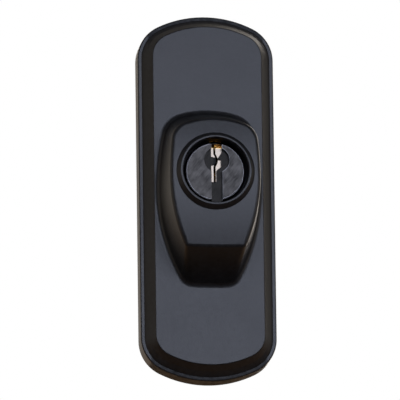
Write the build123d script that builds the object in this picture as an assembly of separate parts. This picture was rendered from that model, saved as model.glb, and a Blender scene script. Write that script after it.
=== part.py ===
from build123d import *
import math
import os

# Outside keyed trim of a sliding patio door lock, in millimetres.
# The door's face is the plane Y = 0 and the trim faces -Y. X is to the right, Z is up.
# The origin is midway between the two mounting posts, at the centre of the plate.
# A "height" is a distance in front of the door's face, so height h is Y = -h.
# The lock is drawn with the key's cuts met: every pin stack breaks at the shear line.

# Escutcheon plate: straight sides, three-arc ends, a narrow ledge and a bevel up to the field
plate_length = 84.8
plate_margin = 1.05
end_rise = 10.0
end_corner_radius = 8.3
ledge_height = 5.7
ledge_width = 0.85
ledge_edge_radius = 0.35
bevel_run = 2.25
bevel_rise = 3.25
bevel_edge_radius = 0.3
field_wall = 1.8
rim_width = 3.1

# Gasket between the rim and the door
gasket_thickness = 0.8
gasket_inset = 0.3

# Hood: walls, edges, the room round what it holds, and its draft from base to face
hood_rise = 13.0
hood_wall = 2.0
hood_front_wall = 2.4
hood_edge_radius = 1.0
hood_root_radius = 1.2
hood_crown_radius = 125.0
flange_side_room = 0.15
flange_top_room = 5.05
foot_room = 0.3
top_draft = 3.95
side_draft = 1.1
bottom_draft = 6.95
shell_relief = 0.12

# Hood outline: a crown over two barrel sides and a nearly flat foot, with rounded corners
base_widest_drop = 1.85
base_crown_radius = 22.0
base_upper_side_radius = 60.0
base_lower_side_radius = 42.0
base_foot_radius = 90.0
base_shoulder_corner = 5.5
base_foot_corner = 3.2
face_widest_drop = 0.85
face_crown_radius = 20.0
face_upper_side_radius = 83.0
face_lower_side_radius = 38.0
face_foot_radius = 200.0
face_shoulder_corner = 4.6
face_foot_corner = 1.0
least_inner_radius = 0.6

# Collar round the plug
axis_height = 2.65
collar_rise = 1.15
collar_crest_width = 0.6
collar_slope_run = 0.85
collar_root_depth = 0.6
collar_edge_radius = 0.25

# Plug, with its head in the collar and its key recess
plug_radius = 6.35
running_clearance = 0.05
head_lip = 0.65
head_chamfer = 0.55
head_gap = 0.45
face_setback = 0.85
plug_tail = 2.6
recess_radius = 2.9
recess_rise = 2.75
recess_depth = 1.0
tail_slot_width = 2.5
key_offset = 0.42

# Keyway, measured from the plug's axis: a thin channel that swings round a ward
keyway_roof = 0.15
keyway_bottom_drop = 2.1
keyway_centre = 0.06
keyway_width = 0.5
ward_height = 2.95
ward_reach = 0.5
ward_half_height = 1.5
ward_flat_half_height = 0.5

# Lead-in round the keyway, with a tongue in its left side and a notch in its right side
lead_in_depth = 0.6
lead_in_left = 0.76
lead_in_right = 1.6
lead_in_foot_drop = 2.45
lead_in_corner = 0.12
tongue_reach = 0.52
tongue_low = 1.8
tongue_high = 3.6
notch_right = 0.75
notch_height = 3.2
notch_half_height = 0.15
shoulder_height = 4.6
shelf_right = 1.45
shelf_low = 1.3
foot_right = 0.4
foot_height = 0.45

# Roof slot over the lead-in and as wide, deep enough to show the shell's bore
roof_slot_foot = 5.8
roof_slot_rise = 0.05
roof_slot_depth = 4.0

# Cylinder shell with the pin chamber block under the plug
shell_wall = 1.5
shell_rear_land = 3.91
flange_lip = 1.3
flange_thickness = 1.8
block_wall = 2.5
block_corner = 1.0

# Pin stacks
pin_count = 5
first_pin_depth = 6.3
pin_pitch = 3.81
pin_radius = 1.45
pin_end_run = 0.55
tip_run = 0.85
tip_length = 0.7
chamber_clearance = 0.05
chamber_rise = 1.6
cut_step = 0.4
cut_depths = (3, 5, 2, 4, 1)
driver_length = 4.4
driver_chamfer = 0.2
spool_pins = (2, 4)
spool_waist_depth = 0.45
spool_collar = 1.1

# Pin springs and the strip that closes their chambers
spring_length = 3.7
spring_wire_radius = 0.14
spring_side_gap = 0.16
spring_turns = 5
spring_seat_gap = 0.03
cover_thickness = 1.0
cover_edge = 0.9
cover_recess = 0.9
cover_fit = 0.03

# Retaining clip
clip_thickness = 0.9
clip_lip = 1.05
clip_bite = 1.05
clip_fit = 0.1
clip_mouth_width = 7.0

# Tailpiece and its screws
tail_disc_inset = 0.55
tail_disc_thickness = 1.5
tail_blade_width = 6.0
tail_blade_thickness = 1.6
tail_blade_length = 30.0
tail_blade_chamfer = 1.2
score_depth = 0.25
score_pitch = 6.35
score_count = 3
tail_screw_radius = 1.0
tail_screw_edge = 0.4
tail_screw_length = 5.0
tail_screw_head_radius = 1.8
tail_screw_head = 1.2

# Clamp plate and its screws
clamp_thickness = 1.5
clamp_side_lap = 1.05
clamp_top_room = 1.5
clamp_foot = 5.85
clamp_corner = 2.5
clamp_gap = 0.3
clamp_screw_edge = 3.1
upper_screw_edge = 3.2
lower_screw_gap = 0.4
clamp_boss_radius = 2.3
clamp_screw_radius = 1.5
clamp_screw_length = 6.5
clamp_screw_head_radius = 2.6
clamp_screw_head = 1.7
screw_fit = 0.02
head_round_share = 0.5
slot_width_share = 0.28
slot_depth_share = 0.5

# Mounting posts
post_end_distance = 11.4
post_radius = 3.4
post_seat = 2.6
post_reach = 16.0
post_chamfer = 0.5
post_fit = 0.02
post_boss_radius = 5.2
thread_radius = 2.1

# One overrun for every through cut, and how near an edge must lie to a level to count as on it
overrun = 1.0
level_tolerance = 0.05

# Radii that follow, from the plug outwards
barrel_bore = plug_radius + running_clearance
barrel_radius = barrel_bore + shell_wall
flange_radius = barrel_radius + flange_lip
head_radius = plug_radius + head_lip
hood_bore = head_radius + head_gap
collar_crest_radius = hood_bore + collar_crest_width
collar_base_radius = collar_crest_radius + collar_slope_run
clip_outer_radius = plug_radius + clip_lip
clip_groove_radius = plug_radius - clip_bite
tail_disc_radius = plug_radius - tail_disc_inset
tail_screw_spacing = 2 * (tail_disc_radius - tail_screw_head_radius - tail_screw_edge)
keyway_top = plug_radius - keyway_roof

# Pin and chamber sizes that follow
chamber_radius = pin_radius + chamber_clearance
pin_flat_radius = pin_radius - pin_end_run
tip_flat_radius = pin_radius - tip_run
spool_waist_radius = pin_radius - spool_waist_depth
spring_mean_radius = chamber_radius - spring_side_gap - spring_wire_radius
block_width = 2 * (chamber_radius + block_wall)
block_drop = barrel_bore + driver_length + spring_length + cover_recess
cover_width = block_width - 2 * cover_edge

# Hood outline places that follow, as half widths, and heights and drops from the plate's centre
base_half_width = flange_radius + flange_side_room + hood_wall
base_peak = axis_height + flange_radius + flange_top_room + hood_wall
base_widest = axis_height - base_widest_drop
clamp_drop = block_drop - axis_height + clamp_foot
base_foot_drop = clamp_drop + foot_room + hood_wall
face_half_width = base_half_width - side_draft
face_peak = base_peak - top_draft
face_widest = axis_height - face_widest_drop
face_foot_drop = base_foot_drop - bottom_draft

# Plate, clamp and post places that follow
plate_width = 2 * (base_half_width + plate_margin + bevel_run + ledge_width)
post_spacing = plate_length - 2 * post_end_distance
clamp_half_width = base_half_width - hood_wall + clamp_side_lap
clamp_top = base_peak - hood_wall - clamp_top_room
upper_screw_x = clamp_half_width - clamp_screw_edge
upper_screw_z = clamp_top - upper_screw_edge
lower_screw_x = block_width / 2 + lower_screw_gap
lower_screw_drop = clamp_drop - clamp_screw_edge

# Heights that follow
field_height = ledge_height + bevel_rise
hood_height = field_height + hood_rise
collar_height = hood_height + collar_rise
pocket_height = field_height - field_wall
shell_front = hood_height - hood_front_wall
plug_face = hood_height - face_setback
last_pin_height = plug_face - first_pin_depth - (pin_count - 1) * pin_pitch
shell_rear = last_pin_height - shell_rear_land
plug_rear = shell_rear - plug_tail
clamp_rear = pocket_height - clamp_thickness
disc_rear = plug_rear - tail_disc_thickness


def plate_level(height):
    """Work plane at a height, with its origin on the plate's centre line."""
    return Plane.XZ.offset(height)


def axis_level(height):
    """Work plane at a height, with its origin on the plug's axis."""
    return Plane(origin=(0, -height, axis_height), x_dir=(1, 0, 0), z_dir=(0, -1, 0))


def slab(level, shape, low, high):
    """A flat shape pulled from one height to another."""
    return extrude(level(low) * shape, high - low)


def bar(level, radius, low, high, x=0, z=0):
    """A round bar between two heights, square to the door."""
    return slab(level, Pos(x, z) * Circle(radius), low, high)


def cone_bar(low_radius, high_radius, low, high):
    """A tapered bar on the plug's axis, between two heights."""
    taper = Cone(low_radius, high_radius, high - low, align=(Align.CENTER, Align.CENTER, Align.MIN))
    return axis_level(low) * taper


def arched_outline(inset):
    """The plate's outline, drawn inset from its edge by the same distance all round."""
    half_width = plate_width / 2
    spring_line = plate_length / 2 - end_rise
    across = half_width - end_corner_radius
    rise = end_rise - end_corner_radius
    crown_radius = (across**2 + end_rise**2 - end_corner_radius**2) / (2 * rise)
    crown_centre = spring_line + end_rise - crown_radius
    slope = math.atan2(spring_line - crown_centre, across)

    def on_arc(centre_x, centre_z, radius, angle):
        reach = radius - inset
        return (centre_x + reach * math.cos(angle), centre_z + reach * math.sin(angle))

    side = half_width - inset
    corner_mid = on_arc(across, spring_line, end_corner_radius, slope / 2)
    joint = on_arc(across, spring_line, end_corner_radius, slope)
    crown = on_arc(0, crown_centre, crown_radius, math.pi / 2)
    edges = []
    for turn in (1, -1):
        def place(x, z, turn=turn):
            return (turn * x, turn * z)
        edges.append(Line(place(side, -spring_line), place(side, spring_line)))
        edges.append(ThreePointArc(place(side, spring_line), place(*corner_mid), place(*joint)))
        edges.append(ThreePointArc(place(*joint), place(*crown), place(-joint[0], joint[1])))
        edges.append(ThreePointArc(
            place(-joint[0], joint[1]), place(-corner_mid[0], corner_mid[1]), place(-side, spring_line)))
    return make_face(edges)


def arcs_meeting(centre, radius, other_centre, other_radius):
    """The crossing of two circles that lies furthest to the right."""
    gap = Vector(*other_centre) - Vector(*centre)
    along = (radius**2 - other_radius**2 + gap.length**2) / (2 * gap.length)
    aside = math.sqrt(radius**2 - along**2)
    unit = gap.normalized()
    middle = Vector(*centre) + unit * along
    across = Vector(-unit.Y, unit.X) * aside
    return max(middle + across, middle - across, key=lambda point: point.X)


def arc_between(centre, radius, start, end):
    """The arc of a circle from one point to another, anticlockwise."""
    angles = []
    for point in (start, end):
        angles.append(math.degrees(math.atan2(point.Y - centre[1], point.X - centre[0])))
    return CenterArc(centre, radius, angles[0], (angles[1] - angles[0]) % 360)


def barrel_outline(half_width, widest, peak, foot_drop, radii, corners, inset):
    """A hood outline from arcs, all moved inward by the inset: crown, two barrel sides and foot."""
    crown, upper, lower, foot = [radius - inset for radius in radii]
    crown_centre = (0, peak - inset - crown)
    foot_centre = (0, inset - foot_drop + foot)
    upper_centre = (half_width - inset - upper, widest)
    lower_centre = (half_width - inset - lower, widest)
    shoulder = arcs_meeting(upper_centre, upper, crown_centre, crown)
    heel = arcs_meeting(lower_centre, lower, foot_centre, foot)
    waist = Vector(half_width - inset, widest)

    def mirrored(point):
        return Vector(-point.X, point.Y)

    edges = [
        arc_between(lower_centre, lower, heel, waist),
        arc_between(upper_centre, upper, waist, shoulder),
        arc_between(crown_centre, crown, shoulder, mirrored(shoulder)),
        arc_between((-upper_centre[0], widest), upper, mirrored(shoulder), mirrored(waist)),
        arc_between((-lower_centre[0], widest), lower, mirrored(waist), mirrored(heel)),
        arc_between(foot_centre, foot, mirrored(heel), heel),
    ]
    shoulder_corner, heel_corner = [max(corner - inset, least_inner_radius) for corner in corners]
    outline = fillet(make_face(edges).vertices().sort_by(Axis.Y)[-2:], shoulder_corner)
    return fillet(outline.vertices().sort_by(Axis.Y)[:2], heel_corner)


def hood_section(share, inset):
    """The hood's outline at a share of the way from its base to its face."""
    base = (base_half_width, base_widest, base_peak, base_foot_drop, base_crown_radius,
            base_upper_side_radius, base_lower_side_radius, base_foot_radius,
            base_shoulder_corner, base_foot_corner)
    face = (face_half_width, face_widest, face_peak, face_foot_drop, face_crown_radius,
            face_upper_side_radius, face_lower_side_radius, face_foot_radius,
            face_shoulder_corner, face_foot_corner)
    sizes = [low + share * (high - low) for low, high in zip(base, face)]
    return barrel_outline(*sizes[:4], sizes[4:8], sizes[8:], inset)


def hood_solid(inset, low, high):
    """The hood's tapered body between two heights on its taper, inset from its outer walls."""
    sections = []
    for height in (low, high):
        share = (height - field_height) / hood_rise
        sections.append(plate_level(height) * hood_section(share, inset))
    return loft(sections, ruled=True)


def plate_solid():
    """Side wall, ledge, bevel and field, with softened edges."""
    wall = slab(plate_level, arched_outline(0), gasket_thickness, ledge_height)
    wall = fillet(wall.faces().sort_by(Axis.Y)[0].edges(), ledge_edge_radius)
    bevel = loft([
        plate_level(ledge_height) * arched_outline(ledge_width),
        plate_level(field_height) * arched_outline(ledge_width + bevel_run),
    ], ruled=True)
    bevel = fillet(bevel.faces().sort_by(Axis.Y)[0].edges(), bevel_edge_radius)
    return wall + bevel


def collar_solid():
    """The raised collar with its sloped outside and narrow crest."""
    root = hood_height - collar_root_depth
    foot = bar(axis_level, collar_base_radius, root, hood_height)
    slope = cone_bar(collar_base_radius, collar_crest_radius, hood_height, collar_height)
    collar = foot + slope - bar(axis_level, hood_bore, root, collar_height)
    crest = collar.faces().sort_by(Axis.Y)[0]
    return fillet(crest.edges(), collar_edge_radius)


def clamp_screw_places():
    """Centres of the four clamp screws, from the plate's centre."""
    places = []
    for side in (-1, 1):
        places.append((side * upper_screw_x, upper_screw_z))
        places.append((side * lower_screw_x, -lower_screw_drop))
    return places


def post_places():
    """Centres of the two mounting posts."""
    return [(0, post_spacing / 2), (0, -post_spacing / 2)]


def hood_root_edges(outside):
    """The edges where the hood meets the field."""
    def at_root(edge):
        box = edge.bounding_box()
        level = abs(box.min.Y + field_height) + abs(box.max.Y + field_height)
        beside = max(abs(box.min.X), abs(box.max.X)) < base_half_width + level_tolerance
        under_end = max(abs(box.min.Z), abs(box.max.Z)) < base_foot_drop + level_tolerance
        return level < level_tolerance and beside and under_end

    return outside.edges().filter_by(at_root)


def crown_roller():
    """A wide roller whose front touches the hood's face level at the plug's axis."""
    centre = Pos(0, hood_crown_radius - hood_height, axis_height)
    return centre * Rot(0, 90, 0) * Cylinder(hood_crown_radius, plate_width)


def make_escutcheon():
    """One die-casting: plate, hood, collar, pocket, hood cavity and bosses."""
    hood = hood_solid(0, field_height, hood_height) & crown_roller()
    hood = fillet(hood.faces().sort_by(Axis.Y)[0].edges(), hood_edge_radius)
    outside = plate_solid() + hood
    outside = fillet(hood_root_edges(outside), hood_root_radius)
    pocket = slab(plate_level, arched_outline(rim_width), gasket_thickness, pocket_height)
    cavity = hood_solid(hood_wall, field_height, shell_front)
    cavity += slab(plate_level, hood_section(0, hood_wall), pocket_height, field_height)
    body = outside - pocket - cavity
    body -= bar(axis_level, barrel_radius + shell_relief, pocket_height, shell_front)
    body -= bar(axis_level, flange_radius + shell_relief, pocket_height, pocket_height + flange_thickness)
    for x, z in clamp_screw_places():
        boss = bar(plate_level, clamp_boss_radius, pocket_height, hood_height - hood_edge_radius, x, z)
        body += boss & outside
    for x, z in post_places():
        body += bar(plate_level, post_boss_radius, gasket_thickness, field_height - field_wall / 2, x, z)
    body += collar_solid()
    body -= bar(axis_level, hood_bore, shell_front - overrun, collar_height + overrun)
    for x, z in clamp_screw_places():
        hole_top = clamp_rear + clamp_screw_length + screw_fit
        body -= bar(plate_level, clamp_screw_radius + screw_fit, 0, hole_top, x, z)
    for x, z in post_places():
        body -= bar(plate_level, post_radius + post_fit, 0, gasket_thickness + post_seat, x, z)
    return body


def make_backing_gasket():
    """Ring gasket that the rim presses on the door."""
    ring = arched_outline(gasket_inset) - arched_outline(rim_width)
    return slab(plate_level, ring, 0, gasket_thickness)


def pin_depths():
    """Y of each pin chamber's centre, from the front."""
    first = first_pin_depth - plug_face
    return [first + index * pin_pitch for index in range(pin_count)]


def upright(radius, low, high, y):
    """A round bar along Z on the plug's axis plane, between two places above the axis."""
    place = Pos(0, y, axis_height + low)
    return place * Cylinder(radius, high - low, align=(Align.CENTER, Align.CENTER, Align.MIN))


def upright_cone(low_radius, high_radius, low, high, y):
    """A tapered bar along Z on the plug's axis plane."""
    place = Pos(0, y, axis_height + low)
    return place * Cone(low_radius, high_radius, high - low, align=(Align.CENTER, Align.CENTER, Align.MIN))


def make_cylinder_shell():
    """Barrel, clamping flange and pin chamber block, bored for the plug and the pins."""
    block = Pos(0, -block_drop / 2) * Rectangle(block_width, block_drop)
    block = fillet(block.vertices().sort_by(Axis.Y)[:2], block_corner)
    shell = bar(axis_level, barrel_radius, shell_rear, shell_front)
    shell += slab(axis_level, block, shell_rear, shell_front)
    shell += bar(axis_level, flange_radius, pocket_height, pocket_height + flange_thickness)
    shell -= bar(axis_level, barrel_bore, shell_rear - overrun, shell_front + overrun)
    groove = Pos(0, cover_recess / 2 - block_drop) * Rectangle(cover_width, cover_recess)
    shell -= slab(axis_level, groove, shell_rear, shell_front)
    for y in pin_depths():
        shell -= upright(chamber_radius, -block_drop - overrun, -plug_radius, y)
    return shell


def keyway_channel():
    """The thin slot round the ward, as seen from the front."""
    half = keyway_width / 2
    swing = keyway_centre + ward_reach
    line = [
        (keyway_centre, keyway_top),
        (keyway_centre, ward_height + ward_half_height),
        (swing, ward_height + ward_flat_half_height),
        (swing, ward_height - ward_flat_half_height),
        (keyway_centre, ward_height - ward_half_height),
        (keyway_centre, -keyway_bottom_drop),
    ]
    left = [(x - half, z) for x, z in line]
    right = [(x + half, z) for x, z in reversed(line)]
    return make_face(Polyline(*left, *right, close=True))


def lead_in_outline():
    """The bright lead-in cut round the keyway, between its tongue and its notch."""
    tongue_tip = tongue_reach - lead_in_left
    corners = [
        (-lead_in_left, keyway_top),
        (-lead_in_left, tongue_high),
        (tongue_tip, tongue_high),
        (tongue_tip, tongue_low),
        (-lead_in_left, tongue_low),
        (-lead_in_left, -lead_in_foot_drop),
        (foot_right, -lead_in_foot_drop),
        (foot_right, foot_height),
        (shelf_right, shelf_low),
        (shelf_right, notch_height - notch_half_height),
        (notch_right, notch_height - notch_half_height),
        (notch_right, notch_height + notch_half_height),
        (lead_in_right, shoulder_height),
        (lead_in_right, keyway_top),
    ]
    outline = make_face(Polyline(*corners, close=True))
    return fillet(outline.vertices(), lead_in_corner)


def roof_slot(top):
    """The wide slot over the keyway, up to a height over the axis."""
    width = lead_in_left + lead_in_right
    middle = (lead_in_right - lead_in_left) / 2
    return Pos(middle, (roof_slot_foot + top) / 2) * Rectangle(width, top - roof_slot_foot)


def tail_screw_places():
    """The two tailpiece screws, to the left and right of the axis."""
    return [side * tail_screw_spacing / 2 for side in (-1, 1)]


def make_plug():
    """Turning core: head, key recess, lead-in, keyway, five chambers, clip groove and screw holes."""
    head = bar(axis_level, head_radius, shell_front, plug_face)
    head = chamfer(head.faces().sort_by(Axis.Y)[0].edges(), head_chamfer)
    plug = bar(axis_level, plug_radius, plug_rear, shell_front) + head
    recess_floor = plug_face - recess_depth
    front = plug_face + overrun
    slot_drop = head_radius + recess_rise
    slot = Pos(key_offset, recess_rise - slot_drop / 2) * Rectangle(tail_slot_width, slot_drop)
    recess = Pos(key_offset, recess_rise) * Circle(recess_radius) + slot
    plug -= slab(axis_level, recess, recess_floor, front)
    plug -= slab(axis_level, lead_in_outline(), recess_floor - lead_in_depth, front)
    plug -= slab(axis_level, keyway_channel(), plug_rear - overrun, front)
    plug -= slab(axis_level, roof_slot(plug_radius + roof_slot_rise), shell_front, front)
    plug -= slab(axis_level, roof_slot(head_radius + overrun), plug_face - roof_slot_depth, shell_front)
    open_slot = Pos(keyway_centre, keyway_top) * Rectangle(keyway_width, head_radius - keyway_top)
    plug -= slab(axis_level, open_slot, plug_rear - overrun, shell_front)
    for y in pin_depths():
        plug -= upright(chamber_radius, -head_radius, chamber_rise, y)
    groove = bar(axis_level, head_radius, shell_rear - clip_thickness - clip_fit, shell_rear)
    groove -= bar(axis_level, clip_groove_radius, plug_rear, shell_rear)
    plug -= groove
    for x in tail_screw_places():
        depth = plug_rear + tail_screw_length
        plug -= bar(axis_level, tail_screw_radius + screw_fit, plug_rear - overrun, depth, x)
    return plug


def cut_height(index):
    """Height of the key's cut over the axis at one chamber, where the key pin's tip rests."""
    return cut_depths[index] * cut_step - keyway_bottom_drop


def round_drop(radius, x):
    """How far under the axis a circle lies at a distance to the side."""
    return math.sqrt(radius**2 - x**2)


def make_key_pin(index):
    """Bottom pin: pointed tip on the key, dished end just inside the plug's surface."""
    y = pin_depths()[index]
    tip = cut_height(index)
    end = -round_drop(plug_radius, pin_flat_radius)
    shoulder = -round_drop(plug_radius, pin_radius)
    pin = upright_cone(pin_flat_radius, pin_radius, end, shoulder, y)
    pin += upright(pin_radius, shoulder, tip - tip_length, y)
    pin += upright_cone(pin_radius, tip_flat_radius, tip - tip_length, tip, y)
    return pin


def make_driver_pin(index):
    """Top pin under the shear line, plain or with a spool waist."""
    y = pin_depths()[index]
    top = -barrel_bore
    shoulder = -round_drop(barrel_bore, pin_radius) - driver_chamfer
    low = top - driver_length
    pin = upright_cone(pin_radius, pin_flat_radius, shoulder, top, y)
    pin += upright(pin_radius, low + driver_chamfer, shoulder, y)
    pin += upright_cone(pin_radius - driver_chamfer, pin_radius, low, low + driver_chamfer, y)
    if index + 1 in spool_pins:
        waist = upright(pin_radius + overrun, low + spool_collar, top - spool_collar, y)
        waist -= upright(spool_waist_radius, low, top, y)
        pin -= waist
    return pin


def make_pin_spring(index):
    """Round-wire coil between a driver pin and the cover."""
    y = pin_depths()[index]
    low = axis_height - block_drop + cover_recess + spring_wire_radius + spring_seat_gap
    high = axis_height - barrel_bore - driver_length - spring_wire_radius - spring_seat_gap
    pitch = (high - low) / spring_turns
    path = Helix(pitch, high - low, spring_mean_radius, center=(0, y, low))
    section = Plane(origin=path @ 0, z_dir=path % 0) * Circle(spring_wire_radius)
    return sweep(section, path, is_frenet=True)


def make_chamber_cover():
    """Strip that slides into the block and closes the spring chambers."""
    strip = Pos(0, cover_recess - cover_thickness / 2 - block_drop)
    strip *= Rectangle(cover_width - 2 * cover_fit, cover_thickness)
    return slab(axis_level, strip, shell_rear, shell_front)


def make_retaining_clip():
    """C clip in the plug's groove, behind the shell."""
    high = shell_rear - clip_fit / 2
    low = high - clip_thickness
    ring = Circle(clip_outer_radius) - Circle(clip_groove_radius + screw_fit)
    mouth = Pos(0, -clip_outer_radius) * Rectangle(clip_mouth_width, 2 * clip_outer_radius)
    return slab(axis_level, ring - mouth, low, high)


def make_tailpiece():
    """Round foot and flat blade, scored so that it can be broken to length."""
    foot = bar(axis_level, tail_disc_radius, disc_rear, plug_rear)
    for x in tail_screw_places():
        foot -= bar(axis_level, tail_screw_radius + screw_fit, disc_rear - overrun, plug_rear + overrun, x)
    tip = disc_rear - tail_blade_length
    blade = slab(axis_level, Rectangle(tail_blade_thickness, tail_blade_width), tip, disc_rear)
    corners = blade.edges().filter_by(Axis.X).group_by(Axis.Y)[-1]
    blade = chamfer(corners, tail_blade_chamfer)
    for index in range(score_count):
        height = tip + (index + 1) * score_pitch
        for side in (-1, 1):
            groove = Pos(side * tail_blade_thickness / 2, 0)
            groove *= Rectangle(2 * score_depth, tail_blade_width + overrun)
            blade -= slab(axis_level, groove, height - score_depth, height + score_depth)
    return foot + blade


def pan_screw(level, radius, length, cap_radius, head, seat, x, z=0):
    """A slotted pan screw whose head sits behind a seat height and whose shank points forward."""
    screw = bar(level, radius, seat, seat + length, x, z)
    cap = bar(level, cap_radius, seat - head, seat, x, z)
    cap = fillet(cap.faces().sort_by(Axis.Y)[-1].edges(), head * head_round_share)
    slot = Pos(x, z) * Rectangle(2 * cap_radius + overrun, cap_radius * slot_width_share)
    cap -= slab(level, slot, seat - head - overrun, seat - head + head * slot_depth_share)
    return screw + cap


def make_tailpiece_screws():
    """Two small screws through the tailpiece's foot into the plug."""
    screws = []
    for x in tail_screw_places():
        screws.append(pan_screw(axis_level, tail_screw_radius, tail_screw_length - screw_fit,
                                tail_screw_head_radius, tail_screw_head, disc_rear, x))
    return Compound(children=screws)


def make_clamp_plate():
    """Flat steel plate that presses the shell's flange forward into the hood."""
    middle = (clamp_top - clamp_drop) / 2
    plate = Pos(0, middle) * RectangleRounded(2 * clamp_half_width, clamp_top + clamp_drop, clamp_corner)
    for x, z in clamp_screw_places():
        plate -= Pos(x, z) * Circle(clamp_screw_radius + screw_fit)
    barrel_hole = Circle(barrel_radius + clamp_gap)
    hole_drop = block_drop + clamp_gap
    block_hole = Pos(0, -hole_drop / 2) * Rectangle(block_width + 2 * clamp_gap, hole_drop)
    window = barrel_hole + block_hole
    solid = slab(plate_level, plate, clamp_rear, pocket_height)
    return solid - slab(axis_level, window, clamp_rear - overrun, pocket_height + overrun)


def make_clamp_screws():
    """Four screws into the bosses inside the hood."""
    screws = []
    for x, z in clamp_screw_places():
        screws.append(pan_screw(plate_level, clamp_screw_radius, clamp_screw_length,
                                clamp_screw_head_radius, clamp_screw_head, clamp_rear, x, z))
    return Compound(children=screws)


def make_mounting_post(place):
    """Threaded post pressed into its boss and reaching into the door."""
    x, z = place
    post = bar(plate_level, post_radius, -post_reach, gasket_thickness + post_seat, x, z)
    post = chamfer(post.faces().sort_by(Axis.Y)[-1].edges(), post_chamfer)
    return post - bar(plate_level, thread_radius, -post_reach - overrun, gasket_thickness, x, z)


def all_nodes():
    """Every piece by the name of its node."""
    nodes = {
        "escutcheon": make_escutcheon(),
        "backing_gasket": make_backing_gasket(),
        "cylinder_shell": make_cylinder_shell(),
        "plug": make_plug(),
        "chamber_cover": make_chamber_cover(),
        "retaining_clip": make_retaining_clip(),
        "tailpiece": make_tailpiece(),
        "tailpiece_screws": make_tailpiece_screws(),
        "clamp_plate": make_clamp_plate(),
        "clamp_screws": make_clamp_screws(),
    }
    for name, place in zip(("mounting_post_top", "mounting_post_bottom"), post_places()):
        nodes[name] = make_mounting_post(place)
    for index in range(pin_count):
        number = index + 1
        nodes[f"key_pin_{number}"] = make_key_pin(index)
        nodes[f"driver_pin_{number}"] = make_driver_pin(index)
        nodes[f"pin_spring_{number}"] = make_pin_spring(index)
    return nodes


os.makedirs("parts", exist_ok=True)
for name, shape in all_nodes().items():
    export_step(shape, f"parts/{name}.step")
    box = shape.bounding_box()
    print(name, [round(value, 2) for value in (*box.min, *box.max)], round(shape.volume, 2))
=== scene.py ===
import math

import bpy
from mathutils import Matrix, Vector


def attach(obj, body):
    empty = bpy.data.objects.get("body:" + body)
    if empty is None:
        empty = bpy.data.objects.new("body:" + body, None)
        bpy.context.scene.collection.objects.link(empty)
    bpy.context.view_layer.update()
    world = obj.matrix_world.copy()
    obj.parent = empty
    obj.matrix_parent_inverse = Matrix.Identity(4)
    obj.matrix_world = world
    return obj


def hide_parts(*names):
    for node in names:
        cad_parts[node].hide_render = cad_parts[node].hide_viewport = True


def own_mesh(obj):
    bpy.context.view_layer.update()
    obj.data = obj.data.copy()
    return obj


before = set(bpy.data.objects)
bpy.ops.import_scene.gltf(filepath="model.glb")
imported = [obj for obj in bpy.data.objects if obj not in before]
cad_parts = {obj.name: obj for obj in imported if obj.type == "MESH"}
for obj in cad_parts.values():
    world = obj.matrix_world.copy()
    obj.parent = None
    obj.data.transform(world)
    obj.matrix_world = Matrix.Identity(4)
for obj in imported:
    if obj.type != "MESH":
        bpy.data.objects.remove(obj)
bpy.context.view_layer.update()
bpy.ops.object.select_all(action="DESELECT")
scene = bpy.context.scene
scene.view_settings.view_transform = "Standard"

# The camera stands a little to the left of the lock and under it, over two metres away,
# and is turned a touch clockwise, so the plate leans to the left in the picture.
view_from_left = math.radians(7.038)
view_from_below = math.radians(13.062)
view_roll = math.radians(-0.743)
view_distance = 2.6356
looked_at = Vector((-0.000931, 0.0, 0.000933))
pixels_per_metre = 4399.6
picture_pixels = 400.0
nearest_seen = 0.01
farthest_seen = 20.0

to_camera = Vector((
    -math.sin(view_from_left) * math.cos(view_from_below),
    -math.cos(view_from_left) * math.cos(view_from_below),
    -math.sin(view_from_below),
))
bpy.ops.object.camera_add(location=looked_at + to_camera * view_distance)
camera = bpy.context.object
camera.name = "camera"
camera.rotation_mode = "QUATERNION"
rolled = Matrix.Rotation(view_roll, 3, "Z").to_quaternion()
camera.rotation_quaternion = to_camera.to_track_quat("Z", "Y") @ rolled
camera.data.lens = camera.data.sensor_width * pixels_per_metre * view_distance / picture_pixels
camera.data.clip_start = nearest_seen
camera.data.clip_end = farthest_seen
scene.camera = camera


# The stage is a plain pale floor, far enough under the lock for a camera to stand between
# them. Only the camera sees it, as evenly lit, so the satin black reflects the soft lights
# and the dim room alone.
floor_drop = 3.2
floor_half_width = 6.0


def linear(code):
    """The linear colour of an sRGB hex value."""
    parts = []
    for start in (0, 2, 4):
        value = int(code[start:start + 2], 16) / 255
        parts.append(value / 12.92 if value <= 0.04045 else ((value + 0.055) / 1.055) ** 2.4)
    return (*parts, 1.0)


def bare_material(name):
    """A material with its nodes and its Principled shader."""
    material = bpy.data.materials.new(name)
    material.use_nodes = True
    return material, material.node_tree.nodes, material.node_tree.nodes["Principled BSDF"]


bpy.ops.mesh.primitive_plane_add(size=2 * floor_half_width, location=(0, 0, -floor_drop))
floor = bpy.context.object
floor.name = "floor"
floor_paint, nodes, shader = bare_material("pale matt floor paint")
shader.inputs["Base Color"].default_value = linear("101010")
shader.inputs["Roughness"].default_value = 0.8
shader.inputs["Emission Color"].default_value = linear("F0F0EE")
shader.inputs["Emission Strength"].default_value = 1.0
floor.data.materials.append(floor_paint)
floor.visible_diffuse = False
floor.visible_glossy = False
floor.visible_shadow = False


# The light is one broad cool panel in front, two weak ones that light the sides the first
# can't reach, and one behind for the parts at the back.
panel_distance = 0.9


def panel(name, direction, size, power, colour):
    """A square light panel that faces the lock from a direction."""
    bpy.ops.object.light_add(type="AREA", location=Vector(direction).normalized() * panel_distance)
    lamp = bpy.context.object
    lamp.name = name
    lamp.rotation_mode = "QUATERNION"
    lamp.rotation_quaternion = Vector(direction).to_track_quat("Z", "Y")
    lamp.data.size = size
    lamp.data.energy = power
    lamp.data.color = linear(colour)[:3]
    lamp.visible_camera = False
    return lamp


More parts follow.
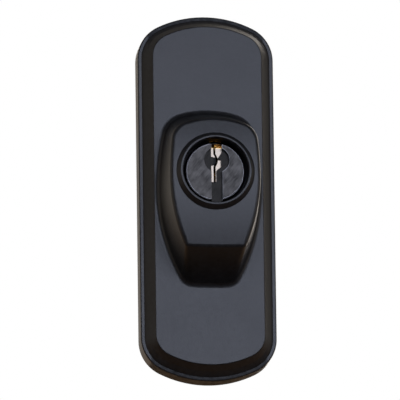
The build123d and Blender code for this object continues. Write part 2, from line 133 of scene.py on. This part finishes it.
front_panel = panel("front_panel", (0.12, -0.967, 0.18), size=1.2, power=4.5, colour="E0E8FF")
front_panel.data.shape = "RECTANGLE"
front_panel.data.size_y = 0.27
panel("right_panel", (0.93, -0.36, 0.05), size=0.5, power=0.5, colour="FFF4E8")
panel("left_panel", (-0.94, -0.25, 0.1), size=0.6, power=0.5, colour="FFF0E0")
panel("back_panel", (0.35, 0.86, 0.4), size=0.8, power=5.0, colour="FFF6EC")


# The room round the lock is dim and warm, brightest behind it, where the pale background
# stands, and darker over and under it. The camera itself sees white studio paper, which
# doesn't light the lock.
def link(nodes, node, inputs):
    """Each input of a node, by name or number, set to a value or linked to a socket."""
    for name, value in inputs.items():
        if isinstance(value, bpy.types.NodeSocket):
            nodes.id_data.links.new(value, node.inputs[name])
        else:
            node.inputs[name].default_value = value


def add(nodes, kind, inputs=(), out=0, **settings):
    """An output of a new node with its settings, and its inputs by name or in their order."""
    node = nodes.new("ShaderNode" + kind)
    for name, value in settings.items():
        setattr(node, name, value)
    link(nodes, node, inputs if isinstance(inputs, dict) else dict(enumerate(inputs)))
    return node.outputs[out]


# A Mix node takes its share as input 0, its numbers as 2 and 3, and its colours as 6 and 7.
of_colours = {"out": 2, "data_type": "RGBA"}

dim_room = bpy.data.worlds.new("dim warm room")
scene.world = dim_room
dim_room.use_nodes = True
nodes = dim_room.node_tree.nodes
towards = add(nodes, "TexCoord", out="Generated")
_, backwards, upwards = add(nodes, "SeparateXYZ", (towards,)).node.outputs
# How far the direction points backwards or upwards, from and to, then the strength there.
behind = add(nodes, "MapRange", (backwards, -0.3, 1.0, 0.1, 0.9))
below = add(nodes, "MapRange", (upwards, -0.9, 0.1, 0.85, 1.0))
ceiling = add(nodes, "MapRange", (upwards, 0.4, 1.0, 1.0, 0.5))
strength = add(nodes, "Math", (behind, below), operation="MULTIPLY")
strength = add(nodes, "Math", (strength, ceiling), operation="MULTIPLY")
height_share = add(nodes, "MapRange", (upwards, -0.4, 0.15))
warmth = add(nodes, "Mix", {0: height_share, 6: linear("B8906A"), 7: linear("CCC2B6")}, **of_colours)
room_light = nodes["Background"]
link(nodes, room_light, {"Color": warmth, "Strength": strength})
paper = add(nodes, "Background", (linear("FFFFFF"), 1.0))
is_camera = add(nodes, "LightPath", out="Is Camera Ray")
seen = add(nodes, "MixShader", (is_camera, room_light.outputs[0], paper))
link(nodes, nodes["World Output"], {"Surface": seen})


# The escutcheon is a zinc die-casting with a satin black coat, cast, trimmed, then painted.
# Its coat has a faint orange peel and a slow mottle where it lies thicker, and in the hollow
# at the back, where little paint reaches, the skin of the casting is rougher.
mm = 0.001
pocket_floor = -7.15 * mm
pocket_half_width = 12.9 * mm
floor_fade = 0.1 * mm
wall_fade = 0.5 * mm
# The real speckle and peel are finer than the render shows, and are drawn as coarse as it needs.
peel_size = 0.7 * mm
speckle_size = 0.9 * mm
skin_size = 1.1 * mm
mottle_size = 6.0 * mm
speckle_share = 0.65
peel_height = 0.3
skin_depth = 0.04 * mm


def finish_nodes(material, *names):
    """Each CAD piece of these names has the material all over."""
    for name in names:
        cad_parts[name].data.materials[0] = material


black, nodes, shader = bare_material("satin black coat on zinc casting")
place = add(nodes, "TexCoord", out="Object")
across, depth, _ = add(nodes, "SeparateXYZ", (place,)).node.outputs
peel = add(nodes, "TexNoise", {"Vector": place, "Scale": 1 / peel_size, "Detail": 2.0})
mottle = add(nodes, "TexNoise", {"Vector": place, "Scale": 1 / mottle_size, "Detail": 3.0})
speckle = add(nodes, "TexNoise", {"Vector": place, "Scale": 1 / speckle_size, "Detail": 3.0})
cast_skin = add(nodes, "TexNoise", {"Vector": place, "Scale": 1 / skin_size, "Detail": 4.0})
off_middle = add(nodes, "Math", (across,), operation="ABSOLUTE")
past_floor = add(nodes, "MapRange", (depth, pocket_floor - floor_fade, pocket_floor))
inside_walls = add(nodes, "MapRange", (off_middle, pocket_half_width + wall_fade, pocket_half_width))
from_behind = add(nodes, "Math", (past_floor, inside_walls), operation="MULTIPLY")
coat_tone = add(nodes, "Mix", {0: speckle_share, 2: mottle, 3: speckle})
coat_share = add(nodes, "MapRange", (coat_tone, 0.35, 0.65))
coat_roughness = add(nodes, "MapRange", (coat_tone, 0.35, 0.65, 0.335, 0.385))
skin_roughness = add(nodes, "MapRange", (cast_skin, 0.3, 0.7, 0.5, 0.75))
coat_relief = add(nodes, "Math", (peel, peel_height), operation="MULTIPLY")
relief = add(nodes, "Mix", {0: from_behind, 2: coat_relief, 3: cast_skin})
link(nodes, shader, {
    "Base Color": add(nodes, "Mix", {0: coat_share, 6: linear("151618"), 7: linear("232528")}, **of_colours),
    "Roughness": add(nodes, "Mix", {0: from_behind, 2: coat_roughness, 3: skin_roughness}),
    "Normal": add(nodes, "Bump", {"Height": relief, "Distance": skin_depth, "Strength": 0.6}),
})
finish_nodes(black, "escutcheon")


# The gasket is die-cut from matt black rubber sheet, and is pressed between the plate's rim
# and the door. Its fine grain, drawn coarse enough to show, leaves it dull.
grain_size = 0.35 * mm
grain_depth = 0.02 * mm
rubber, nodes, shader = bare_material("matt black rubber sheet")
place = add(nodes, "TexCoord", out="Object")
grain = add(nodes, "TexNoise", {"Vector": place, "Scale": 1 / grain_size, "Detail": 3.0})
link(nodes, shader, {
    "Base Color": add(nodes, "Mix", {0: grain, 6: linear("161616"), 7: linear("232323")}, **of_colours),
    "Roughness": 0.85,
    "Normal": add(nodes, "Bump", {"Height": grain, "Distance": grain_depth, "Strength": 0.7}),
})
finish_nodes(rubber, "backing_gasket")


# The shell and the cover of its spring chambers are machined brass, held in the hood from
# behind. The shell's front, seen in the gap round the plug, is painted near black as painted
# shade in the gap, except over the top of the keyway, where its bare brass shows.
axis_height = 2.65 * mm
shell_front = -19.55 * mm
slot_middle = 0.31 * mm
slot_half_width = 1.25 * mm
slot_fade = 0.1 * mm
gap_shade_depth = 0.3 * mm
gap_shade_fade = 0.1 * mm
bare_top_rise = 5.0 * mm
roughness_spread = 0.06
across_marks = (12, 1, 12)


def machined(name, low, high, roughness, stretch, mark_size, mark_depth, patch_size):
    """A bare metal whose colour drifts a little, with tool marks drawn out along the cut."""
    # Real marks are finer than a pixel, so their size is as coarse as it needs to show.
    material, nodes, shader = bare_material(name)
    place = add(nodes, "TexCoord", out="Object")
    drift = add(nodes, "TexNoise", {"Vector": place, "Scale": 1 / patch_size, "Detail": 3.0})
    mark_sizes = [mark_size * times for times in stretch]
    drawn_out = add(nodes, "Mapping", {"Vector": place, "Scale": mark_sizes}, vector_type="TEXTURE")
    marks = add(nodes, "TexNoise", {"Vector": drawn_out, "Scale": 1.0, "Detail": 2.0})
    link(nodes, shader, {
        "Base Color": add(nodes, "Mix", {0: drift, 6: linear(low), 7: linear(high)}, **of_colours),
        "Metallic": 1.0,
        "Roughness": add(nodes, "MapRange", (
            marks, 0.3, 0.7, roughness - roughness_spread, roughness + roughness_spread)),
        "Normal": add(nodes, "Bump", {"Height": marks, "Distance": mark_depth, "Strength": 1.0}),
    })
    return material


brass = machined("machined brass", "A9803C", "C49A50", 0.3, across_marks,
                 mark_size=0.25 * mm, mark_depth=0.004 * mm, patch_size=4.0 * mm)
nodes = brass.node_tree.nodes
shader = nodes["Principled BSDF"]
place = add(nodes, "TexCoord", out="Object")
across, depth, height = add(nodes, "SeparateXYZ", (place,)).node.outputs
on_front = add(nodes, "MapRange", (
    depth, shell_front + gap_shade_depth + gap_shade_fade, shell_front + gap_shade_depth))
off_slot = add(nodes, "Math", (across, slot_middle), operation="SUBTRACT")
off_slot = add(nodes, "Math", (off_slot,), operation="ABSOLUTE")
beside_slot = add(nodes, "MapRange", (off_slot, slot_half_width, slot_half_width + slot_fade))
under_bare_top = add(nodes, "MapRange", (
    height, axis_height + bare_top_rise, axis_height + bare_top_rise - gap_shade_fade))
gap_shade_kept = add(nodes, "Math", (beside_slot, under_bare_top), operation="MAXIMUM")
# Painted shade: the shell's front is coloured near black in the gap round the plug, but not over the
# keyway's top.
plated = add(nodes, "Math", (on_front, gap_shade_kept), operation="MULTIPLY")
bare_brass = shader.inputs["Base Color"].links[0].from_socket
link(nodes, shader, {"Base Color": add(
    nodes, "Mix", {0: plated, 6: bare_brass, 7: linear("0A0A0B")}, **of_colours)})
finish_nodes(brass, "cylinder_shell", "chamber_cover")


# The pins are turned on a lathe, brass key pins and steel driver pins, and the tool leaves
# rings round them. They lie loose in their bores, one pair over each spring.
pin_numbers = range(1, 6)
ring_marks = (30, 30, 1)
turned_brass = machined("turned brass", "B98E42", "D2A85A", 0.22, ring_marks,
                        mark_size=0.25 * mm, mark_depth=0.004 * mm, patch_size=4.0 * mm)
finish_nodes(turned_brass, *[f"key_pin_{number}" for number in pin_numbers])
turned_steel = machined("turned steel", "B4B4B2", "C8C8C6", 0.24, ring_marks,
                        mark_size=0.25 * mm, mark_depth=0.004 * mm, patch_size=4.0 * mm)
finish_nodes(turned_steel, *[f"driver_pin_{number}" for number in pin_numbers])


# The clip is punched from spring strip and the springs are wound from drawn wire, both oiled
# to a grey sheen. Each spring stands on the chamber cover under its driver pin. It is a copy of
# the CAD spring with the coils' loose triangles merged.
upright_marks = (1, 1, 30)
merged_within = 0.001 * mm
spring = machined("drawn spring steel", "8C8A86", "A5A39E", 0.3, upright_marks,
                  mark_size=0.25 * mm, mark_depth=0.004 * mm, patch_size=4.0 * mm)
finish_nodes(spring, "retaining_clip")
for number in pin_numbers:
    node, pin = f"pin_spring_{number}", f"driver_pin_{number}"
    coil = bpy.data.objects.new(f"spring_coil_{number}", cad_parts[node].data.copy())
    scene.collection.objects.link(coil)
    coil.data.materials[0] = spring
    bpy.context.view_layer.objects.active = coil
    bpy.ops.object.mode_set(mode="EDIT")
    bpy.ops.mesh.select_all(action="SELECT")
    bpy.ops.mesh.remove_doubles(threshold=merged_within)
    bpy.ops.object.mode_set(mode="OBJECT")
    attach(coil, "trim")
    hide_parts(node)
    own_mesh(coil)


# The clamp plate is punched from steel strip, and screwed to the hood's bosses to hold the
# shell. It is zinc plated, and so are the screws, a bright and slightly blue grey.
zinc = machined("bright zinc plate", "A9ADB2", "C6C8CA", 0.32, upright_marks,
                mark_size=0.3 * mm, mark_depth=0.003 * mm, patch_size=3.0 * mm)
finish_nodes(zinc, "clamp_plate", "clamp_screws", "tailpiece_screws")


# The tailpiece is punched from drawn strip and zinc plated, with the drawing marks along its
# blade, and two screws hold it to the end of the plug.
along_marks = (1, 30, 1)
strip = machined("bright zinc plate on drawn strip", "A4A8AC", "C2C4C6", 0.3, along_marks,
                 mark_size=0.25 * mm, mark_depth=0.003 * mm, patch_size=3.0 * mm)
finish_nodes(strip, "tailpiece")


# The posts are turned from steel bar and zinc plated, with rings along their length. Each is
# tapped from the end for a screw through the door: the thread shows as relief in its bore, and
# the bore's grey is painted darker as painted shade.
post_height = 31.0 * mm
thread_radius = 2.1 * mm
thread_pitch = 0.8 * mm
thread_depth = 0.2 * mm
bore_fade = 0.1 * mm
post = machined("turned and plated steel", "9EA2A7", "BDBFC1", 0.3, across_marks,
                mark_size=0.3 * mm, mark_depth=0.003 * mm, patch_size=4.0 * mm)
nodes = post.node_tree.nodes
shader = nodes["Principled BSDF"]
place = add(nodes, "TexCoord", out="Object")
across, depth, height = add(nodes, "SeparateXYZ", (place,)).node.outputs
off_post = add(nodes, "Math", (height,), operation="ABSOLUTE")
off_post = add(nodes, "Math", (off_post, post_height), operation="SUBTRACT")
off_post = add(nodes, "CombineXYZ", {"X": across, "Z": off_post})
reach = add(nodes, "VectorMath", (off_post,), out="Value", operation="LENGTH")
bore_thread_and_shade = add(nodes, "MapRange", (reach, thread_radius + bore_fade, thread_radius))
turned = add(nodes, "Math", (depth, 2 * math.pi / thread_pitch), operation="MULTIPLY")
crest = add(nodes, "Math", (turned,), operation="SINE")
crest = add(nodes, "Math", (crest, 0.5, 0.5), operation="MULTIPLY_ADD")
thread = add(nodes, "Math", (bore_thread_and_shade, crest), operation="MULTIPLY")
marks = shader.inputs["Normal"].links[0].from_socket
bare_plate = shader.inputs["Base Color"].links[0].from_socket
link(nodes, shader, {
    # Painted shade: inside the bore the plate's grey gives way to a darker grey.
    "Base Color": add(nodes, "Mix", {0: bore_thread_and_shade, 6: bare_plate, 7: linear("5A5B5E")}, **of_colours),
    "Normal": add(nodes, "Bump", {
        "Height": thread, "Distance": thread_depth, "Strength": 1.0, "Normal": marks}),
})
finish_nodes(post, "mounting_post_top", "mounting_post_bottom")


# The plug is turned brass. Its head has a black nickel plating, brushed on the face, with a
# painted highlight and painted shade round the rim, and painted shade darkening the key recess.
# The lead-in and the front of the keyway, cut after the plating, are bright, and further in
# the keyway is painted dark as painted shade.
plug_face = -21.1 * mm
rim_radius = 6.45 * mm
rim_highlight_width = 0.14 * mm
rim_highlight_lap = 0.06 * mm
slot_lap = 0.05 * mm
recess_rise = 2.75 * mm
recess_radius = 2.9 * mm
recess_floor = plug_face + 1.0 * mm
recess_highlight_width = 0.22 * mm
slot_highlight_width = 0.2 * mm
edge_highlight_from = 0.0
edge_highlight_to = 1.5 * mm
most_edge_highlight = 0.7
edge_wear = 0.04 * mm
lead_in_left = -0.8 * mm
lead_in_right = 1.64 * mm
lead_in_floor = recess_floor + 0.62 * mm
keyway_shade_floor = recess_floor + 1.1 * mm
tongue_edge = 0.3 * mm
tongue_low = 1.8 * mm
tongue_high = 3.6 * mm
foot_drop = 2.1 * mm
roof_rise = 5.72 * mm
front_highlight_depth = -1.0 * mm
# How far each finish takes to pass into the next.
thin_fade = 0.06 * mm
fade = 0.08 * mm
broad_fade = 0.1 * mm
head_fade = 0.2 * mm
# The brush's real streaks are finer than a pixel, and are drawn coarse enough to show.
brush_turn = (0, math.radians(-52), 0)
streak_sizes = [0.3 * mm * times for times in (6, 6, 1)]
cloud_sizes = [1.3 * mm * times for times in (1.8, 1.8, 1)]
cloud_share = 0.65
fine_size = 0.3 * mm
streak_depth = 0.006 * mm
along_face = (1, 0, 1)

plug_metal, nodes, shader = bare_material("brass plug with black nickel head")
place = add(nodes, "TexCoord", out="Object")
across, depth, height = add(nodes, "SeparateXYZ", (place,)).node.outputs
brushed = add(nodes, "Mapping", {"Vector": place, "Rotation": brush_turn, "Scale": streak_sizes},
              vector_type="TEXTURE")
streaks = add(nodes, "TexNoise", {"Vector": brushed, "Scale": 1.0, "Detail": 3.0})
clouded = add(nodes, "Mapping", {"Vector": place, "Rotation": brush_turn, "Scale": cloud_sizes},
              vector_type="TEXTURE")
cloud = add(nodes, "TexNoise", {"Vector": clouded, "Scale": 1.0, "Detail": 3.0})
fine = add(nodes, "TexNoise", {"Vector": place, "Scale": 1 / fine_size, "Detail": 2.0})

# The rim's chamfer has a painted highlight by the face and painted shade outside it, except
# across the key slot.
off_axis = add(nodes, "VectorMath", (place, (0, 0, axis_height)), operation="SUBTRACT")
off_axis = add(nodes, "VectorMath", (off_axis, along_face), operation="MULTIPLY")
off_axis = add(nodes, "VectorMath", (off_axis,), out="Value", operation="LENGTH")
rim_shade_share = add(nodes, "MapRange", (
    off_axis, rim_radius + rim_highlight_width, rim_radius + rim_highlight_width + thin_fade))
rim_highlight_and_shade = add(nodes, "MapRange", (
    off_axis, rim_radius - rim_highlight_lap, rim_radius - rim_highlight_lap + broad_fade))
off_slot = add(nodes, "Math", (across, slot_middle), operation="SUBTRACT")
off_slot = add(nodes, "Math", (off_slot,), operation="ABSOLUTE")
clear_of_slot = add(nodes, "MapRange", (
    off_slot, slot_half_width + slot_lap, slot_half_width + slot_lap + broad_fade))
rim_highlight_and_shade = add(nodes, "Math", (rim_highlight_and_shade, clear_of_slot), operation="MULTIPLY")
rim_highlight_and_shade_colour = add(nodes, "Mix", {0: rim_shade_share, 6: linear("E6E6EA"), 7: linear("151516")}, **of_colours)

# The brushed face has a painted highlight along the right side of the recess and of its slot.
off_recess = add(nodes, "VectorMath", (place, (slot_middle, 0, axis_height + recess_rise)),
                 operation="SUBTRACT")
off_recess = add(nodes, "VectorMath", (off_recess, along_face), operation="MULTIPLY")
off_recess = add(nodes, "VectorMath", (off_recess,), out="Value", operation="LENGTH")
round_edge = add(nodes, "MapRange", (off_recess, recess_radius + recess_highlight_width, recess_radius + fade))
slot_edge = add(nodes, "MapRange", (off_slot, slot_half_width + slot_highlight_width, slot_half_width + fade))
edge_highlight = add(nodes, "Math", (round_edge, slot_edge), operation="MAXIMUM")
on_right = add(nodes, "MapRange", (across, edge_highlight_from, edge_highlight_to, 0.0, most_edge_highlight))
edge_highlight = add(nodes, "Math", (on_right, edge_highlight), operation="MULTIPLY")
face_tone = add(nodes, "Mix", {0: cloud_share, 2: streaks, 3: cloud})
face_share = add(nodes, "MapRange", (face_tone, 0.36, 0.64))
face_colour = add(nodes, "Mix", {0: face_share, 6: linear("252423"), 7: linear("4A4846")}, **of_colours)
face_colour = add(nodes, "Mix", {0: edge_highlight, 6: face_colour, 7: linear("7C7C7E")}, **of_colours)

# The recess is painted darker than the face as painted shade, and the rim goes round both.
in_recess = add(nodes, "MapRange", (depth, plug_face + edge_wear, plug_face + edge_wear + fade))
shaded_recess_colour = add(nodes, "Mix", {0: fine, 6: linear("1A1918"), 7: linear("282725")}, **of_colours)
head_colour = add(nodes, "Mix", {0: in_recess, 6: face_colour, 7: shaded_recess_colour}, **of_colours)
head_colour = add(nodes, "Mix", {0: rim_highlight_and_shade, 6: head_colour, 7: rim_highlight_and_shade_colour}, **of_colours)

# The cut behind the recess's floor is bright as far as the lead-in's own floor, and painted
# dark further in as painted shade; in the roof its brass is painted bright as a painted highlight.
past_recess = add(nodes, "MapRange", (
    depth, recess_floor + edge_wear, recess_floor + edge_wear + thin_fade))
from_left = add(nodes, "MapRange", (across, lead_in_left - thin_fade, lead_in_left))
from_right = add(nodes, "MapRange", (across, lead_in_right + thin_fade, lead_in_right))
in_cut = add(nodes, "Math", (from_left, from_right), operation="MULTIPLY")
in_cut = add(nodes, "Math", (past_recess, in_cut), operation="MULTIPLY")
keyway_shade_share = add(nodes, "MapRange", (depth, lead_in_floor, keyway_shade_floor))
roof_highlight_share = add(nodes, "MapRange", (
    height, axis_height + roof_rise, axis_height + roof_rise + thin_fade))
bright_colour = add(nodes, "Mix", {0: fine, 6: linear("6A6E71"), 7: linear("7F8487")}, **of_colours)
# Painted shade deeper in the keyway, then a painted highlight on the roof's brass.
bright_colour = add(nodes, "Mix", {0: keyway_shade_share, 6: bright_colour, 7: linear("3A3836")}, **of_colours)
bright_colour = add(nodes, "Mix", {0: roof_highlight_share, 6: bright_colour, 7: linear("F6CC74")}, **of_colours)
front_colour = add(nodes, "Mix", {0: in_cut, 6: head_colour, 7: bright_colour}, **of_colours)

# The tongue on the keyway's left side and the foot of the lead-in keep the dark plating.
on_left = add(nodes, "MapRange", (across, tongue_edge + fade, tongue_edge))
over_low = add(nodes, "MapRange", (
    height, axis_height + tongue_low - broad_fade, axis_height + tongue_low))
under_high = add(nodes, "MapRange", (
    height, axis_height + tongue_high + broad_fade, axis_height + tongue_high))
in_tongue = add(nodes, "Math", (over_low, under_high), operation="MULTIPLY")
in_tongue = add(nodes, "Math", (on_left, in_tongue), operation="MULTIPLY")
in_foot = add(nodes, "MapRange", (
    height, axis_height - foot_drop + broad_fade, axis_height - foot_drop))
in_dark = add(nodes, "Math", (in_tongue, in_foot), operation="MAXIMUM")
in_dark = add(nodes, "Math", (in_cut, in_dark), operation="MULTIPLY")

# Behind its head the plug is bare brass, with a painted highlight near the front in the slot over the roof.
to_front = add(nodes, "MapRange", (depth, 0.0, front_highlight_depth))
slot_highlight_share = add(nodes, "Math", (roof_highlight_share, to_front), operation="MULTIPLY")
brass_colour = add(nodes, "Mix", {0: cloud, 6: linear("A9803C"), 7: linear("C49A50")}, **of_colours)
brass_colour = add(nodes, "Mix", {0: slot_highlight_share, 6: brass_colour, 7: linear("FFE2A0")}, **of_colours)
in_head = add(nodes, "MapRange", (depth, shell_front + head_fade, shell_front))
plug_colour = add(nodes, "Mix", {0: in_head, 6: brass_colour, 7: front_colour}, **of_colours)
brushed_roughness = add(nodes, "MapRange", (streaks, 0.3, 0.7, 0.3, 0.42))
head_roughness = add(nodes, "Mix", {0: rim_highlight_and_shade, 2: brushed_roughness, 3: 0.5})
link(nodes, shader, {
    "Base Color": add(nodes, "Mix", {0: in_dark, 6: plug_colour, 7: linear("121212")}, **of_colours),
    "Metallic": 1.0,
    "Roughness": add(nodes, "Mix", {0: in_cut, 2: head_roughness, 3: 0.24}),
    "Normal": add(nodes, "Bump", {"Height": streaks, "Distance": streak_depth, "Strength": 0.6}),
})
finish_nodes(plug_metal, "plug")
